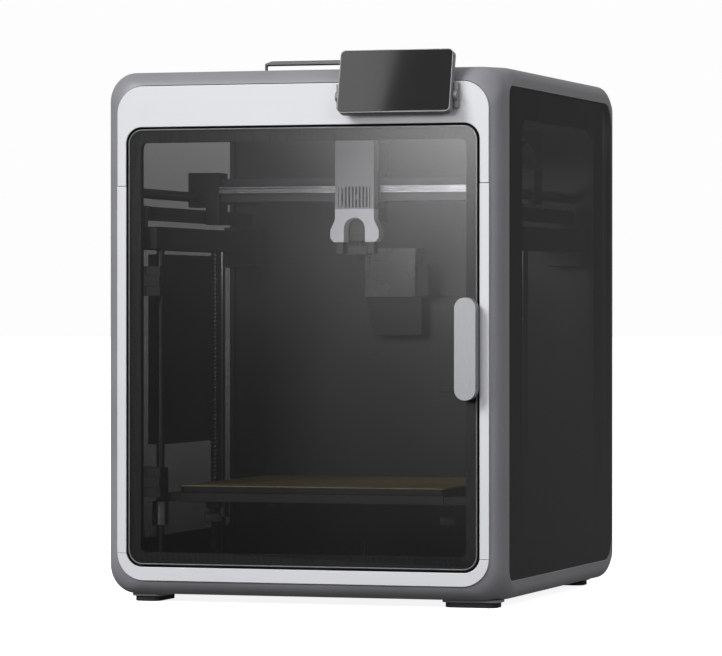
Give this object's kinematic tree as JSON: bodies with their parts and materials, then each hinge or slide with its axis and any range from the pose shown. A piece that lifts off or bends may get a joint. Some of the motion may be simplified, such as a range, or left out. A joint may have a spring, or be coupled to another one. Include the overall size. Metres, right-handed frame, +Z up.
{
  "type": "fdm printer",
  "caption": "Enclosed desktop filament printer: glass door, tilting touch screen, lift-off lid, moving gantry and tool head, and a heated bed that rises on lead screws.",
  "frame": {"origin": "centre of the overall box at the underside of the rubber feet", "axes": "+Z up, -Y out of the door side, +X to the right seen from the front"},
  "size_m": [0.404, 0.4586, 0.5341],
  "materials": {
    "shell_grey": "fine satin texture",
    "tinted_panel": "dark tinted gloss",
    "inner_black": "matte",
    "silver": "fine blasted satin",
    "sheet_steel": "powder coat",
    "board": "solder mask",
    "rubber": "matte",
    "door_glass": "tinted gloss",
    "hinge_metal": "satin",
    "screen_glass": "black gloss",
    "screen_case": "satin",
    "light_plastic": "matte",
    "lid_plastic": "satin",
    "lid_glass": "tinted gloss",
    "bright_steel": "ground",
    "belt_rubber": "matte",
    "motor_black": "satin",
    "clear_plastic": "translucent",
    "rocker_plastic": "gloss",
    "cast_dark": "dark anodised",
    "head_plastic": "satin",
    "hot_end_metal": "machined",
    "coated_steel": "textured polymer coat",
    "bed_aluminium": "milled"
  },
  "bodies": {
    "case": {"front_ring": "shell_grey", "roof_frame": "shell_grey", "base_tray": "shell_grey", "rear_shell": "shell_grey", "side_panel_right": "tinted_panel", "side_panel_left": "tinted_panel", "side_frames": "inner_black", "bezel_top": "silver", "bezel_bottom": "silver", "bezel_sides": "silver", "inner_frame": "inner_black", "rear_wall_sheet": "sheet_steel", "mainboard": "board", "power_supply": "sheet_steel", "foot_bases": "shell_grey", "rubber_feet": "rubber", "hinge_blocks": "hinge_metal", "screen_bracket": "light_plastic", "gantry_rods": "bright_steel", "side_beams": "sheet_steel", "bed_columns": "bright_steel", "drive_belts": "belt_rubber", "belt_idlers": "bright_steel", "belt_motors": "motor_black", "bed_motor": "motor_black", "waste_chute": "clear_plastic", "waste_ramp": "inner_black", "nozzle_wiper": "light_plastic", "wall_box": "inner_black", "camera": "inner_black", "light_bar": "light_plastic", "power_inlet": "inner_black", "exhaust_fan": "inner_black"},
    "door": {"door_glass": "door_glass", "door_border": "inner_black", "door_grip": "silver", "door_leaves": "hinge_metal"},
    "screen": {"screen_shell": "screen_case", "screen_glass": "screen_glass"},
    "lid": {"lid_frame": "lid_plastic", "lid_glass": "lid_glass", "lid_handle": "lid_plastic"},
    "gantry": {"gantry_block_right": "cast_dark", "gantry_block_left": "cast_dark", "gantry_beam": "cast_dark", "gantry_rail": "bright_steel"},
    "tool_head": {"head_cover": "head_plastic", "rail_slider": "bright_steel", "head_carrier": "cast_dark", "hot_end": "hot_end_metal"},
    "head_fan": {"head_fan_rotor": "inner_black"},
    "bed": {"heated_plate": "bed_aluminium", "bed_carrier": "sheet_steel", "bed_bearings": "bright_steel", "level_knobs": "hinge_metal"},
    "print_sheet": {"build_sheet": "coated_steel"},
    "screw_right": {"lead_screw_right": "bright_steel"},
    "screw_left": {"lead_screw_left": "bright_steel"},
    "rocker": {"power_rocker": "rocker_plastic"},
    "rotor": {"exhaust_rotor": "inner_black"}
  },
  "joints": [
    {"name": "door_swing", "type": "hinge", "parent": "case", "child": "door", "pos_m": [-0.163, -0.2013, 0.25], "axis": [0, 0, -1], "range_deg": [0, 88]},
    {"name": "screen_tilt", "type": "hinge", "parent": "case", "child": "screen", "pos_m": [0.09875, -0.2159, 0.4895], "axis": [1, 0, 0], "range_deg": [0, 20]},
    {"name": "lid_lift", "type": "slide", "parent": "case", "child": "lid", "axis": [0, 0, 1], "range_m": [0, 0.04]},
    {"name": "gantry_slide", "type": "slide", "parent": "case", "child": "gantry", "axis": [0, 1, 0], "range_m": [-0.145, 0.107]},
    {"name": "head_slide", "type": "slide", "parent": "gantry", "child": "tool_head", "axis": [1, 0, 0], "range_m": [-0.129, 0.129]},
    {"name": "head_fan_spin", "type": "hinge", "parent": "tool_head", "child": "head_fan", "pos_m": [0, -0.0317, 0.3985], "axis": [0, 1, 0], "continuous": true},
    {"name": "bed_lift", "type": "slide", "parent": "case", "child": "bed", "axis": [0, 0, 1], "range_m": [-0.038, 0.221]},
    {"name": "sheet_pull", "type": "slide", "parent": "bed", "child": "print_sheet", "axis": [0, -1, 0], "range_m": [0, 0.02]},
    {"name": "screw_right_turn", "type": "hinge", "parent": "case", "child": "screw_right", "pos_m": [0.161, -0.0047, 0.2], "axis": [0, 0, 1], "continuous": true},
    {"name": "screw_left_turn", "type": "hinge", "parent": "case", "child": "screw_left", "pos_m": [-0.161, -0.0047, 0.2], "axis": [0, 0, 1], "continuous": true},
    {"name": "rocker_press", "type": "hinge", "parent": "case", "child": "rocker", "pos_m": [0.133, 0.2248, 0.056], "axis": [1, 0, 0], "range_deg": [-8, 8]},
    {"name": "rotor_spin", "type": "hinge", "parent": "case", "child": "rotor", "pos_m": [0.1, 0.1688, 0.435], "axis": [0, 1, 0], "continuous": true}
  ],
  "couplings": [
    {"joint": "screw_right_turn", "follows": "bed_lift", "rad_per_m": 785.4},
    {"joint": "screw_left_turn", "follows": "bed_lift", "rad_per_m": 785.4}
  ]
}
